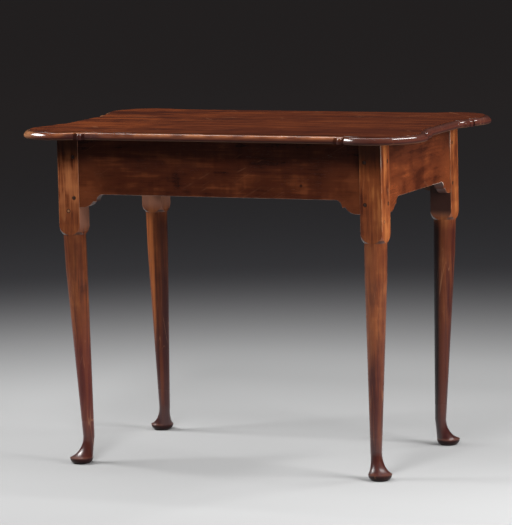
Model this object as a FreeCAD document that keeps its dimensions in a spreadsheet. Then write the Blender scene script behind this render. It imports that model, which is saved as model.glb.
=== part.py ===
"""Shaped-top tea table: a lobed board on four offset-turned legs joined by bracketed aprons.

Millimetres. +Z is up, +X runs along the table, -Y is the front.
The origin is on the floor, under the middle of the table.
"""

import FreeCAD
import Part
import Sketcher

import math
import os

doc = FreeCAD.newDocument("tea_table")

# Driving dimensions, in millimetres and degrees

SIZES = [
    ("table_height", 686, "floor to the upper face of the top"),
    ("top_thickness", 16, "top, through its raised field"),
    ("end_overhang", 62.5, "top, from the posts out to the shoulders of its end edges"),
    ("long_overhang", 41.5, "top, from the posts out to its straight long edges"),
    ("lobe_reach", 17, "how far a corner lobe stands out past the long edges and the end shoulders"),
    ("lobe_radius", 92, "corner lobe, seen from above"),
    ("lobe_hollow", 14, "hollow curve between a straight edge and a lobe"),
    ("end_recess", 10.5, "middle of an end edge, set in from the shoulders by its lobes"),
    ("end_shoulder", 30, "shoulder of an end edge, from its bead to the recess"),
    ("moulding_step", 1.5, "step down from the field to the moulding"),
    ("moulding_ledge", 2.5, "level ledge between the step and the quarter round"),
    ("edge_land", 0.5, "upright strip between the quarter round and the lower rounding"),
    ("underside_round", 3.5, "rounding of the lower edge of the top"),
    ("bead_radius", 5.5, "small bead where a lobe starts"),
    ("bead_inset", 2, "bead axis, in from the long edge or the end shoulder"),
    ("bead_shank", 7, "bead, straight part below its dome"),
    ("nick_radius", 4, "nick on each side of a bead"),
    ("nick_pitch", 9, "bead axis to nick axis"),
    ("frame_length", 699, "outside of the posts, along the table"),
    ("frame_depth", 443, "outside of the posts, front to rear"),
    ("post_side", 46, "square post"),
    ("post_round", 1.2, "softened arrises of a post"),
    ("post_length", 198, "square post, from the top down to the shoulder where the round leg starts"),
    ("pommel_height", 22, "rounded lower end of the square post"),
    ("shoulder_ledge", 0.2, "post face to the round leg at the shoulder"),
    ("calf_drop", 72, "shoulder down to the calf, where the taper quickens"),
    ("calf_diameter", 44, "round leg at the calf"),
    ("calf_offset", 1.5, "calf axis towards the table's middle, along X and along Y"),
    ("ankle_diameter", 23.2, "round leg at its thinnest"),
    ("ankle_height", 54, "floor to the ankle"),
    ("ankle_offset", 12, "ankle axis towards the table's middle, along X and along Y"),
    ("toe_sweep", 75, "how far the curve over the toe turns, in degrees"),
    ("pad_diameter", 47.5, "pad foot at its rim"),
    ("pad_rim_height", 12.5, "floor to the rim of the pad"),
    ("pad_base_diameter", 31, "pad foot on the floor"),
    ("apron_depth", 114, "apron between its brackets"),
    ("apron_thickness", 20, "apron"),
    ("apron_recess", 1.5, "apron face, in from the post face"),
    ("apron_round", 1, "softened lower arris of an apron's face"),
    ("bracket_flat", 8, "bracket, level part beside the post"),
    ("ovolo_run", 23, "bracket, convex curve, along the apron"),
    ("ovolo_drop", 12.5, "bracket, convex curve, up and down"),
    ("bracket_step", 7, "bracket, level step between its curves"),
    ("cove_radius", 14.5, "bracket, hollow curve up to the apron's lower edge"),
    ("tenon_thickness", 8, "apron tenon"),
    ("tenon_parting", 2.5, "tenon end to the other apron's tenon in the same post"),
    ("tenon_haunch", 20, "tenon below the apron's upper edge"),
    ("tenon_foot", 8, "tenon above the bracket's lower edge"),
    ("joint_gap", 0.2, "mortise wall to tenon"),
    ("mortise_end_gap", 1, "tenon end to the bottom of its mortise"),
    ("peg_diameter", 6, "peg through an apron joint"),
    ("peg_bite", 10.5, "peg, past the tenon into the post"),
    ("peg_proud", 0.5, "peg end, out from the post face"),
    ("peg_inset", 11, "peg axis, from the apron's shoulder into the post"),
    ("peg_gap", 0.1, "peg to its hole, all round and at its inner end"),
    ("upper_peg_drop", 39, "upper peg axis below the post's upper end"),
    ("lower_peg_rise", 19, "lower peg axis above the bracket's lower edge"),
    ("block_length", 70, "glue block along its apron"),
    ("block_width", 24, "glue block in from its apron"),
    ("block_depth", 28, "glue block down from the top"),
    ("block_setback", 98.5, "glue block of a long apron, from the post to its near end"),
    ("screw_diameter", 4.5, "wood screw, shank"),
    ("screw_bite", 9, "wood screw, how far it enters the top"),
    ("screw_point", 3, "wood screw, tapered end"),
    ("screw_tip_diameter", 1.5, "wood screw, blunt tip"),
    ("screw_head_diameter", 9, "wood screw, countersunk head"),
    ("screw_head_depth", 3, "wood screw, countersunk head"),
    ("screw_slot_width", 1.2, "wood screw, driver slot"),
    ("screw_slot_depth", 1.4, "wood screw, driver slot"),
    ("screw_gap", 0.1, "screw to its hole"),
    ("cut_over", 2, "how far a cutting shape runs past the face it cuts"),
]

sheet = doc.addObject("Spreadsheet::Sheet", "dim")
for row, (alias, size, meaning) in enumerate(SIZES, start=1):
    sheet.set(f"A{row}", meaning)
    sheet.set(f"B{row}", str(size))
    sheet.setAlias(f"B{row}", alias)
doc.recompute()

# Sizes that follow from the driving dimensions

POST_TOP = "(dim.table_height - dim.top_thickness)"
LONG_SPAN = "(dim.frame_length - 2 * dim.post_side)"
END_SPAN = "(dim.frame_depth - 2 * dim.post_side)"
HALF_POST = "(dim.post_side / 2)"
SHOULDER = f"({POST_TOP} - dim.post_length)"
LEG_RADIUS = f"({HALF_POST} - dim.shoulder_ledge)"
APRON_END_DEPTH = "(dim.apron_depth + dim.ovolo_drop + dim.cove_radius)"
TENON_INSET = "((dim.apron_thickness - dim.tenon_thickness) / 2)"
TENON_HEIGHT = f"({APRON_END_DEPTH} - dim.tenon_haunch - dim.tenon_foot)"
TENON_BACK = f"(dim.apron_recess + {TENON_INSET} + dim.tenon_thickness)"
TENON_LENGTH = f"(dim.post_side - {TENON_BACK} - dim.tenon_parting)"
PEG_REACH = f"({TENON_BACK} + dim.peg_bite)"
PEG_HOLE_RADIUS = "(dim.peg_diameter / 2 + dim.peg_gap)"
PEG_DROPS = {"upper": "dim.upper_peg_drop", "lower": f"({APRON_END_DEPTH} - dim.lower_peg_rise)"}
BLOCK_ALONG = f"({LONG_SPAN} / 2 - dim.block_setback - dim.block_length / 2)"
BLOCK_INWARD = "(dim.apron_recess + dim.apron_thickness)"
SCREW_INWARD = f"({BLOCK_INWARD} + dim.block_width / 2)"
SCREW_HOLE_RADIUS = "(dim.screw_diameter / 2 + dim.screw_gap)"

EDGE_X = "(dim.frame_length / 2 + dim.end_overhang)"
EDGE_Y = "(dim.frame_depth / 2 + dim.long_overhang)"
SLAB_THICKNESS = "(dim.top_thickness - dim.moulding_step)"
EDGE_ROUND = f"({SLAB_THICKNESS} - dim.underside_round - dim.edge_land)"
MOULDING_WIDTH = f"({EDGE_ROUND} + dim.moulding_ledge)"
LOBE_X = f"({EDGE_X} + dim.lobe_reach - dim.lobe_radius)"
LOBE_Y = f"({EDGE_Y} + dim.lobe_reach - dim.lobe_radius)"
HOLLOW_REACH = "(dim.lobe_radius + dim.lobe_hollow)"
LOBE_RISE = "(dim.lobe_radius - dim.lobe_reach + dim.lobe_hollow)"
HOLLOW_RUN = f"sqrt({HOLLOW_REACH} ^ 2 - {LOBE_RISE} ^ 2)"
BEAD_X = f"({LOBE_X} - {HOLLOW_RUN})"
BEAD_Y = f"({LOBE_Y} - {HOLLOW_RUN})"
RECESS_Y = f"({BEAD_Y} - dim.end_shoulder - dim.end_recess)"

# The four sides of the frame, each a quarter turn on from the one before it,
# and where a point lies that is some way along the side and some way inward
SIDES = {
    "front": ("{along}", "-dim.frame_depth / 2 + ({inward})"),
    "right": ("dim.frame_length / 2 - ({inward})", "{along}"),
    "rear": ("-({along})", "dim.frame_depth / 2 - ({inward})"),
    "left": ("-dim.frame_length / 2 + ({inward})", "-({along})"),
}

# The four corners, each a quarter turn on from the one before it, and the signs of X and Y there
CORNERS = {
    "front_left": ("-", "-"),
    "front_right": ("", "-"),
    "rear_right": ("", ""),
    "rear_left": ("-", ""),
}


def number(text):
    """The number that an expression of sheet cells comes to."""
    return float(sheet.evalExpression(text))


def place(item, x, y, z, turn=FreeCAD.Rotation()):
    """Puts an object at a place given by three expressions, turned by a fixed rotation."""
    item.Placement = FreeCAD.Placement(FreeCAD.Vector(), turn)
    for axis, text in zip("xyz", (x, y, z)):
        item.setExpression(f"Placement.Base.{axis}", text)
    return item


def upright_turn(order, name):
    """The turn about the upright axis from the first of an order to the one named, in quarter turns."""
    return FreeCAD.Rotation(FreeCAD.Vector(0, 0, 1), 90 * list(order).index(name))


def place_on_side(item, side, along, inward, z, first_turn=FreeCAD.Rotation()):
    """Puts an object on one side of the frame, by its distance along that side and inward from it."""
    x, y = (text.format(along=along, inward=inward) for text in SIDES[side])
    return place(item, x, y, z, upright_turn(SIDES, side).multiply(first_turn))


def box(name, length, width, height, x="0", y="0", z="0"):
    """A box whose lowest corner is at (x, y, z)."""
    item = doc.addObject("Part::Box", name)
    item.setExpression("Length", length)
    item.setExpression("Width", width)
    item.setExpression("Height", height)
    return place(item, x, y, z)


INWARD = FreeCAD.Rotation(FreeCAD.Vector(1, 0, 0), -90)
SIDEWAYS = FreeCAD.Rotation(FreeCAD.Vector(0, 1, 0), 90)


def cylinder(name, radius, height, x="0", y="0", z="0", turn=FreeCAD.Rotation()):
    """A cylinder from (x, y, z), upright unless it is turned."""
    item = doc.addObject("Part::Cylinder", name)
    item.setExpression("Radius", radius)
    item.setExpression("Height", height)
    return place(item, x, y, z, turn)


def cone(name, radius_low, radius_high, height, x="0", y="0", z="0"):
    """An upright cone from (x, y, z)."""
    item = doc.addObject("Part::Cone", name)
    item.setExpression("Radius1", radius_low)
    item.setExpression("Radius2", radius_high)
    item.setExpression("Height", height)
    return place(item, x, y, z)


def fuse(name, shapes):
    """Several shapes as one."""
    item = doc.addObject("Part::MultiFuse", name)
    item.Shapes = shapes
    return item


def cut(name, base, tools):
    """A base with tools taken out of it."""
    item = doc.addObject("Part::Cut", name)
    item.Base = base
    item.Tool = fuse(name + "_tools", tools) if len(tools) > 1 else tools[0]
    return item


def new_body(name):
    """An empty body."""
    return doc.addObject("PartDesign::Body", name)


def new_sketch(body, name, role, lift="0"):
    """A sketch on one of a body's origin planes, lifted along its normal."""
    sketch = body.newObject("Sketcher::SketchObject", name)
    support = next(item for item in body.Origin.OriginFeatures if item.Role == role)
    sketch.AttachmentSupport = [(support, "")]
    sketch.MapMode = "FlatFace"
    sketch.setExpression("AttachmentOffset.Base.z", lift)
    return sketch


def hold(sketch, constraint, text):
    """Adds a constraint whose size is an expression."""
    index = sketch.addConstraint(Sketcher.Constraint(*constraint, number(text)))
    sketch.setExpression(f"Constraints[{index}]", text)


def hold_point(sketch, geometry, point, x, y):
    """Holds a point of a sketch at the place that two expressions give."""
    hold(sketch, ("DistanceX", -1, 1, geometry, point), x)
    hold(sketch, ("DistanceY", -1, 1, geometry, point), y)


def draw_circle(sketch, x, y, radius):
    """A circle with its centre and radius held."""
    centre = FreeCAD.Vector(number(x), number(y), 0)
    geometry = sketch.addGeometry(Part.Circle(centre, FreeCAD.Vector(0, 0, 1), number(radius)))
    hold_point(sketch, geometry, 3, x, y)
    hold(sketch, ("Radius", geometry), radius)


def arc_between(start, end, radius, left):
    """The arc under a half circle from start to end, with its centre on the left or right of the way."""
    way = end.sub(start)
    half = way.Length / 2
    across = FreeCAD.Vector(-way.y, way.x, 0).normalize()
    across.multiply(math.sqrt(radius ** 2 - half ** 2) * (1 if left else -1))
    centre = start.add(end).multiply(0.5).add(across)
    first, last = (start, end) if left else (end, start)
    angles = [math.atan2(p.y - centre.y, p.x - centre.x) for p in (first, last)]
    circle = Part.Circle(centre, FreeCAD.Vector(0, 0, 1), radius)
    return Part.ArcOfCircle(circle, *angles)


def draw_outline(sketch, corners, arcs):
    """A closed outline through corners. arcs gives, for some edges, a radius and the centre's side.

    Each corner is held at its own place, and each arc by its radius.
    """
    points = [FreeCAD.Vector(number(x), number(y), 0) for x, y in corners]
    ends = []
    for i, start in enumerate(points):
        end = points[(i + 1) % len(points)]
        if i in arcs:
            radius, side = arcs[i]
            left = side == "left"
            geometry = sketch.addGeometry(arc_between(start, end, number(radius), left))
            hold(sketch, ("Radius", geometry), radius)
            ends.append((geometry, 1, 2) if left else (geometry, 2, 1))
        else:
            geometry = sketch.addGeometry(Part.LineSegment(start, end))
            ends.append((geometry, 1, 2))
    for (geometry, first, _), (before, _, last), (x, y) in zip(ends, ends[-1:] + ends[:-1], corners):
        sketch.addConstraint(Sketcher.Constraint("Coincident", before, last, geometry, first))
        hold_point(sketch, geometry, first, x, y)


def draw_rectangle(sketch, x_low, x_high, y_low, y_high):
    """A rectangle with its corners held."""
    draw_outline(sketch, [(x_low, y_low), (x_high, y_low), (x_high, y_high), (x_low, y_high)], {})


def pad(body, name, sketch, length, back=False):
    """Thickens a sketch along its normal, or against it."""
    feature = body.newObject("PartDesign::Pad", name)
    feature.Profile = sketch
    feature.setExpression("Length", length)
    feature.Reversed = back
    return feature


def loft(body, name, sketches, ruled):
    """Joins sketches in order by a straight or a smooth skin."""
    feature = body.newObject("PartDesign::AdditiveLoft", name)
    feature.Profile = sketches[0]
    feature.Sections = sketches[1:]
    feature.Ruled = ruled
    return feature


def turned(body, name, kind, sketch):
    """Turns a sketch once about the upright axis, to add or to take away."""
    feature = body.newObject(kind, name)
    feature.Profile = sketch
    feature.ReferenceAxis = (sketch, ["V_Axis"])
    feature.Angle = 360
    return feature


def soften(body, name, radius, choose):
    """Rounds the edges of the body's last feature that choose picks."""
    doc.recompute()
    base = body.Tip
    names = [f"Edge{i}" for i, edge in enumerate(base.Shape.Edges, start=1) if choose(edge)]
    feature = body.newObject("PartDesign::Fillet", name)
    feature.Base = (base, names)
    feature.setExpression("Radius", radius)
    return feature


NEAR = 1e-4


def level_at(edge, height):
    """Whether an edge lies level at a height."""
    return abs(edge.BoundBox.ZMin - height) < NEAR and abs(edge.BoundBox.ZMax - height) < NEAR


def is_upright(edge):
    """Whether an edge stands upright."""
    return edge.BoundBox.ZLength > NEAR and edge.BoundBox.XLength < NEAR and edge.BoundBox.YLength < NEAR


def in_face(edge):
    """Whether an edge lies in the plane y = 0."""
    return abs(edge.BoundBox.YMin) < NEAR and abs(edge.BoundBox.YMax) < NEAR


def is_below(edge, height):
    """Whether no part of an edge lies above a height."""
    return edge.BoundBox.ZMax < height + NEAR


# The top: a slab with lobed corners and a moulded edge, a raised field, and beads between nicks


def lobed_outline(sketch, inset):
    """The plan of the top drawn in by an inset: edges, recesses in the end edges, hollows and corner lobes."""
    edge_x = f"({EDGE_X} - {inset})"
    edge_y = f"({EDGE_Y} - {inset})"
    lobe = f"(dim.lobe_radius - {inset})"
    hollow = f"(dim.lobe_hollow + {inset})"
    share = f"{lobe} / {HOLLOW_REACH}"
    recess = f"(dim.end_recess + {inset})"
    # one corner, from the recess of its end edge round the lobe, by way of the lobe's tip, to its long edge
    corner = [
        (f"({EDGE_X} - {recess})", RECESS_Y),
        (edge_x, f"({RECESS_Y} + sqrt({recess} ^ 2 - {inset} ^ 2))"),
        (edge_x, BEAD_Y),
        (f"({LOBE_X} + {LOBE_RISE} * {share})", f"({LOBE_Y} - {HOLLOW_RUN} * {share})"),
        (f"({LOBE_X} + {lobe} / sqrt(2))", f"({LOBE_Y} + {lobe} / sqrt(2))"),
        (f"({LOBE_X} - {HOLLOW_RUN} * {share})", f"({LOBE_Y} + {LOBE_RISE} * {share})"),
        (BEAD_X, edge_y),
    ]
    curves = [(recess, "right"), None, (hollow, "right"), (lobe, "left"), (lobe, "left"), (hollow, "right")]
    corners = []
    arcs = {}
    for sign_x, sign_y in ((1, 1), (-1, 1), (-1, -1), (1, -1)):
        way = sign_x * sign_y
        start = len(corners)
        corners += [(f"{sign_x} * {x}", f"{sign_y} * {y}") for x, y in corner[::way]]
        arcs.update({start + i: curve for i, curve in enumerate(curves[::way]) if curve})
    draw_outline(sketch, corners, arcs)


def bead_places():
    """Where the beads stand: on every straight edge, next to each lobe, with the way along the edge."""
    places = []
    for sign_x in (1, -1):
        for sign_y in (1, -1):
            long_edge = (f"{sign_x} * {BEAD_X}", f"{sign_y} * ({EDGE_Y} - dim.bead_inset)")
            end_edge = (f"{sign_x} * ({EDGE_X} - dim.bead_inset)", f"{sign_y} * {BEAD_Y}")
            places.append((*long_edge, "x", sign_y))
            places.append((*end_edge, "y", sign_x))
    return places


def make_top():
    """The top board, with its screw holes, in its own frame: z = 0 is its underside."""
    body = new_body("top_form")
    outline = new_sketch(body, "top_outline", "XY_Plane")
    lobed_outline(outline, "0")
    pad(body, "top_slab", outline, SLAB_THICKNESS)
    slab_height = number(SLAB_THICKNESS)
    soften(body, "top_upper_edge", EDGE_ROUND, lambda edge: level_at(edge, slab_height))
    soften(body, "top_lower_edge", "dim.underside_round", lambda edge: level_at(edge, 0))
    field = new_sketch(body, "field_outline", "XY_Plane", SLAB_THICKNESS)
    lobed_outline(field, MOULDING_WIDTH)
    pad(body, "top_field", field, "dim.moulding_step")
    beads = []
    nicks = []
    for i, (x, y, way, outward) in enumerate(bead_places()):
        beads.append(cylinder(f"bead_{i}", "dim.bead_radius", "dim.bead_shank", x, y))
        dome = doc.addObject("Part::Sphere", f"bead_dome_{i}")
        dome.setExpression("Radius", "dim.bead_radius")
        beads.append(place(dome, x, y, "dim.bead_shank"))
        out = f"{outward} * dim.bead_inset"
        # a nick's axis lies in the edge, so the line where its surface closes is turned clear of the board
        clear = FreeCAD.Rotation(FreeCAD.Vector(0, 0, 1), 90 * outward if way == "x" else 90 - 90 * outward)
        for step in ("dim.nick_pitch", "-dim.nick_pitch"):
            along_x, along_y = (step, out) if way == "x" else (out, step)
            nicks.append(cylinder(f"nick_{i}", "dim.nick_radius", "dim.top_thickness + 2 * dim.cut_over",
                                  f"{x} + {along_x}", f"{y} + {along_y}", "-dim.cut_over", clear))
    holes = []
    for side, along in BLOCKS.values():
        hole = cylinder("screw_hole", SCREW_HOLE_RADIUS, "dim.screw_bite + dim.screw_gap + dim.cut_over")
        holes.append(place_on_side(hole, side, along, SCREW_INWARD, "-dim.cut_over"))
    board = cut("top_board", fuse("top_with_beads", [body] + beads), nicks + holes)
    return place(board, "0", "0", POST_TOP)


# The legs


def toe_section(fraction):
    """Centre along X and along Y, radius and height of the foot, from the ankle (0) to the rim (1).

    The back of the foot runs straight. The toe follows an arc, steep at the ankle and less so at the rim.
    """
    down = f"(sin({fraction} * dim.toe_sweep) / sin(dim.toe_sweep))"
    out = f"((1 - cos({fraction} * dim.toe_sweep)) / (1 - cos(dim.toe_sweep)))"
    ankle_middle = "(dim.ankle_offset * sqrt(2))"
    toe = f"(({ankle_middle} - dim.ankle_diameter / 2) * (1 - {out}) - dim.pad_diameter / 2 * {out})"
    back = f"(({ankle_middle} + dim.ankle_diameter / 2) * (1 - {down}) + dim.pad_diameter / 2 * {down})"
    height = f"(dim.ankle_height - (dim.ankle_height - dim.pad_rim_height) * {down})"
    return f"(({toe} + {back}) / 2 / sqrt(2))", f"(({back} - {toe}) / 2)", height


FOOT_STEPS = 6


def leg_form(name):
    """Post, round leg and pad foot of the front left leg, standing on its post's axis."""
    body = new_body(name + "_form")
    square = new_sketch(body, name + "_square", "XY_Plane", SHOULDER)
    draw_rectangle(square, f"-{HALF_POST}", HALF_POST, f"-{HALF_POST}", HALF_POST)
    pad(body, name + "_post", square, "dim.post_length")
    soften(body, name + "_arrises", "dim.post_round", is_upright)
    # the turning cut that rounds the lower end of the post
    corner_radius = "(dim.post_side / sqrt(2))"
    pommel_width = f"({corner_radius} - {LEG_RADIUS})"
    pommel_top = f"({SHOULDER} + dim.pommel_height)"
    outside = f"({corner_radius} + dim.cut_over)"
    waste = new_sketch(body, name + "_pommel", "XZ_Plane")
    draw_outline(
        waste,
        [
            (LEG_RADIUS, SHOULDER),
            (outside, SHOULDER),
            (outside, pommel_top),
            (corner_radius, pommel_top),
        ],
        {3: (f"(({pommel_width} ^ 2 + dim.pommel_height ^ 2) / (2 * {pommel_width}))", "right")},
    )
    turned(body, name + "_pommel_cut", "PartDesign::Groove", waste)
    # the taper, slow and then quicker, from the post's axis to the offset ankle
    shoulder = new_sketch(body, name + "_shoulder", "XY_Plane", SHOULDER)
    draw_circle(shoulder, "0", "0", LEG_RADIUS)
    calf = new_sketch(body, name + "_calf", "XY_Plane", f"{SHOULDER} - dim.calf_drop")
    draw_circle(calf, "dim.calf_offset", "dim.calf_offset", "dim.calf_diameter / 2")
    ankle = new_sketch(body, name + "_ankle", "XY_Plane", "dim.ankle_height")
    draw_circle(ankle, "dim.ankle_offset", "dim.ankle_offset", "dim.ankle_diameter / 2")
    loft(body, name + "_taper", [shoulder, calf, ankle], True)
    # the foot, from the ankle to the rim of the pad, then the pad's underside
    sections = []
    for i in range(FOOT_STEPS + 1):
        middle, radius, height = toe_section(i / FOOT_STEPS)
        section = new_sketch(body, f"{name}_foot_{i}", "XY_Plane", height)
        draw_circle(section, middle, middle, radius)
        sections.append(section)
    loft(body, name + "_foot", sections, False)
    pad_radius = "(dim.pad_diameter / 2)"
    base_radius = "(dim.pad_base_diameter / 2)"
    pad_width = f"({pad_radius} - {base_radius})"
    under = new_sketch(body, name + "_under", "XZ_Plane")
    draw_outline(
        under,
        [("0", "0"), (base_radius, "0"), (pad_radius, "dim.pad_rim_height"), ("0", "dim.pad_rim_height")],
        {1: (f"(({pad_width} ^ 2 + dim.pad_rim_height ^ 2) / (2 * {pad_width}))", "left")},
    )
    turned(body, name + "_pad", "PartDesign::Revolution", under)
    return body


def mortise(name, swap):
    """The hole for one apron's tenon, in the leg's own frame. swap gives the one for the other apron."""
    depth = f"({TENON_LENGTH} + dim.mortise_end_gap)"
    start = f"({HALF_POST} - {depth})"
    reach = f"{depth} + dim.cut_over"
    width = "dim.tenon_thickness + 2 * dim.joint_gap"
    cheek = f"-{HALF_POST} + dim.apron_recess + {TENON_INSET} - dim.joint_gap"
    height = f"{TENON_HEIGHT} + 2 * dim.joint_gap"
    foot = f"{POST_TOP} - {APRON_END_DEPTH} + dim.tenon_foot - dim.joint_gap"
    if swap:
        return box(name, width, reach, height, cheek, start, foot)
    return box(name, reach, width, height, start, cheek, foot)


def make_leg(corner):
    """One leg, with its mortises and peg holes."""
    sign_x, sign_y = CORNERS[corner]
    name = "leg_" + corner
    tools = [mortise(name + "_mortise_long", False), mortise(name + "_mortise_end", True)]
    across = f"{HALF_POST} - dim.peg_inset"
    outside = f"-{HALF_POST} - dim.cut_over"
    length = f"{PEG_REACH} + dim.peg_gap + dim.cut_over"
    for drop in PEG_DROPS.values():
        height = f"{POST_TOP} - {drop}"
        tools.append(cylinder(name + "_hole", PEG_HOLE_RADIUS, length, across, outside, height, INWARD))
        tools.append(cylinder(name + "_hole", PEG_HOLE_RADIUS, length, outside, across, height, SIDEWAYS))
    leg = cut(name, leg_form(name), tools)
    x = f"{sign_x}(dim.frame_length / 2 - {HALF_POST})"
    y = f"{sign_y}(dim.frame_depth / 2 - {HALF_POST})"
    return place(leg, x, y, "0", upright_turn(CORNERS, corner))


# The aprons


def make_apron(side):
    """One apron with its brackets and tenons, in its own frame: outer face y = 0, upper edge z = 0."""
    name = "apron_" + side
    span = LONG_SPAN if side in ("front", "rear") else END_SPAN
    end = f"({span} / 2)"
    flat = f"({end} - dim.bracket_flat)"
    ovolo = f"({flat} - dim.ovolo_run)"
    step = f"({ovolo} - dim.bracket_step)"
    cove = f"({step} - dim.cove_radius)"
    step_level = "-(dim.apron_depth + dim.cove_radius)"
    right_half = [
        (end, "0"),
        (end, f"-{APRON_END_DEPTH}"),
        (flat, f"-{APRON_END_DEPTH}"),
        (ovolo, step_level),
        (step, step_level),
        (cove, "-dim.apron_depth"),
    ]
    left_half = [(f"-{x}", z) for x, z in reversed(right_half)]
    # outline clockwise: the curves of the right bracket, then those of the left one
    ovolo_radius = "((dim.ovolo_run ^ 2 + dim.ovolo_drop ^ 2) / (2 * dim.ovolo_drop))"
    arcs = {
        2: (ovolo_radius, "right"),
        4: ("dim.cove_radius", "left"),
        6: ("dim.cove_radius", "left"),
        8: (ovolo_radius, "right"),
    }
    body = new_body(name + "_form")
    outline = new_sketch(body, name + "_outline", "XZ_Plane")
    draw_outline(outline, right_half + left_half, arcs)
    pad(body, name + "_board", outline, "dim.apron_thickness", back=True)
    lower_edge = -number("dim.apron_depth")
    soften(body, name + "_arris", "dim.apron_round", lambda edge: in_face(edge) and is_below(edge, lower_edge))
    tenons = new_sketch(body, name + "_tenons", "XZ_Plane", f"-{TENON_INSET}")
    low = f"-{APRON_END_DEPTH} + dim.tenon_foot"
    high = "-dim.tenon_haunch"
    tenon_end = f"({end} + {TENON_LENGTH})"
    draw_rectangle(tenons, end, tenon_end, low, high)
    draw_rectangle(tenons, f"-{tenon_end}", f"-{end}", low, high)
    pad(body, name + "_tenon_pad", tenons, "dim.tenon_thickness", back=True)
    holes = []
    for sign in (1, -1):
        x = f"{sign} * ({end} + dim.peg_inset)"
        for drop in PEG_DROPS.values():
            holes.append(cylinder(name + "_hole", PEG_HOLE_RADIUS, "dim.apron_thickness",
                                  x, "0", f"-{drop}", INWARD))
    return place_on_side(cut(name, body, holes), side, "0", "dim.apron_recess", POST_TOP)


# The pegs

ENDS = {
    "front": {"left": -1, "right": 1},
    "right": {"front": -1, "rear": 1},
    "rear": {"right": -1, "left": 1},
    "left": {"rear": -1, "front": 1},
}


def make_pegs(side):
    """The four pegs of one apron, from just outside the post's face inwards."""
    span = LONG_SPAN if side in ("front", "rear") else END_SPAN
    pegs = []
    for end, sign in ENDS[side].items():
        along = f"{sign} * ({span} / 2 + dim.peg_inset)"
        for level, drop in PEG_DROPS.items():
            name = f"peg_{side}_apron_{end}_{level}"
            peg = cylinder(name, "dim.peg_diameter / 2", f"{PEG_REACH} + dim.peg_proud")
            pegs.append(place_on_side(peg, side, along, "-dim.peg_proud", f"{POST_TOP} - {drop}", INWARD))
    return pegs


# The glue blocks and the screws up through them: the side that each is on, and where along it

BLOCKS = {
    "front_left": ("front", f"-{BLOCK_ALONG}"),
    "front_right": ("front", BLOCK_ALONG),
    "right": ("right", "0"),
    "rear_right": ("rear", f"-{BLOCK_ALONG}"),
    "rear_left": ("rear", BLOCK_ALONG),
    "left": ("left", "0"),
}


def make_block(label):
    """One glue block, against its apron and the top. In its own frame its upper face is z = 0."""
    side, along = BLOCKS[label]
    name = "glue_block_" + label
    wood = box(name + "_wood", "dim.block_length", "dim.block_width", "dim.block_depth",
               "-dim.block_length / 2", "0", "-dim.block_depth")
    middle = "dim.block_width / 2"
    tools = [
        cylinder(name + "_hole", SCREW_HOLE_RADIUS, "dim.block_depth + 2 * dim.cut_over",
                 "0", middle, "-dim.block_depth - dim.cut_over"),
        cone(name + "_countersink", "dim.screw_head_diameter / 2 + dim.screw_gap", SCREW_HOLE_RADIUS,
             "dim.screw_head_depth", "0", middle, "-dim.block_depth"),
    ]
    block = cut(name, wood, tools)
    return place_on_side(block, side, along, BLOCK_INWARD, POST_TOP)


def make_screw(label):
    """One wood screw with a slotted countersunk head, from the block's lower face up into the top."""
    side, along = BLOCKS[label]
    name = "top_screw_" + label
    length = "(dim.block_depth + dim.screw_bite)"
    radius = "dim.screw_diameter / 2"
    straight = f"({length} - dim.screw_head_depth - dim.screw_point)"
    head = cone(name + "_head", "dim.screw_head_diameter / 2", radius, "dim.screw_head_depth")
    shank = cylinder(name + "_shank", radius, straight, z="dim.screw_head_depth")
    point_start = f"dim.screw_head_depth + {straight}"
    point = cone(name + "_point", radius, "dim.screw_tip_diameter / 2", "dim.screw_point", z=point_start)
    slot = box(name + "_slot", "dim.screw_head_diameter + 2 * dim.cut_over", "dim.screw_slot_width",
               "dim.screw_slot_depth + dim.cut_over", "-dim.screw_head_diameter / 2 - dim.cut_over",
               "-dim.screw_slot_width / 2", "-dim.cut_over")
    screw = cut(name, fuse(name + "_blank", [head, shank, point]), [slot])
    return place_on_side(screw, side, along, SCREW_INWARD, f"{POST_TOP} - dim.block_depth")


# The whole table

pieces = [make_top()]
pieces += [make_leg(corner) for corner in CORNERS]
pieces += [make_apron(side) for side in SIDES]
for side in SIDES:
    pieces += make_pegs(side)
pieces += [make_block(label) for label in BLOCKS]
pieces += [make_screw(label) for label in BLOCKS]
doc.recompute()

for item in doc.Objects:
    if "Invalid" in item.State or "Error" in item.State:
        raise RuntimeError(f"{item.Label} did not build: {item.State}")
for piece in pieces:
    if piece.Shape.isNull() or not piece.Shape.isValid() or len(piece.Shape.Solids) != 1:
        raise RuntimeError(f"{piece.Label} is not one sound solid")

os.makedirs("parts", exist_ok=True)
for piece in pieces:
    piece.Shape.exportStep(f"parts/{piece.Label}.step")
    print(f"{piece.Label:28s} {piece.Shape.Volume / 1000:8.2f} cm3")
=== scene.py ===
# %% [markdown]
# # A shaped-top tea table
# The solids of this table come from a imported CAD model: one board, four legs, four aprons, and the
# pegs, glue blocks and screws that hold them together. Their sizes and places are settled there. This
# lesson gives them the look of old polished hardwood, whittles the pegs, sets a plain studio round the
# table, and looks at it through a long lens. The frame is loaded first, and its box is kept.

# %% Load the frame
import math

import bpy
import numpy as np
from mathutils import Matrix, Vector


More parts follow.
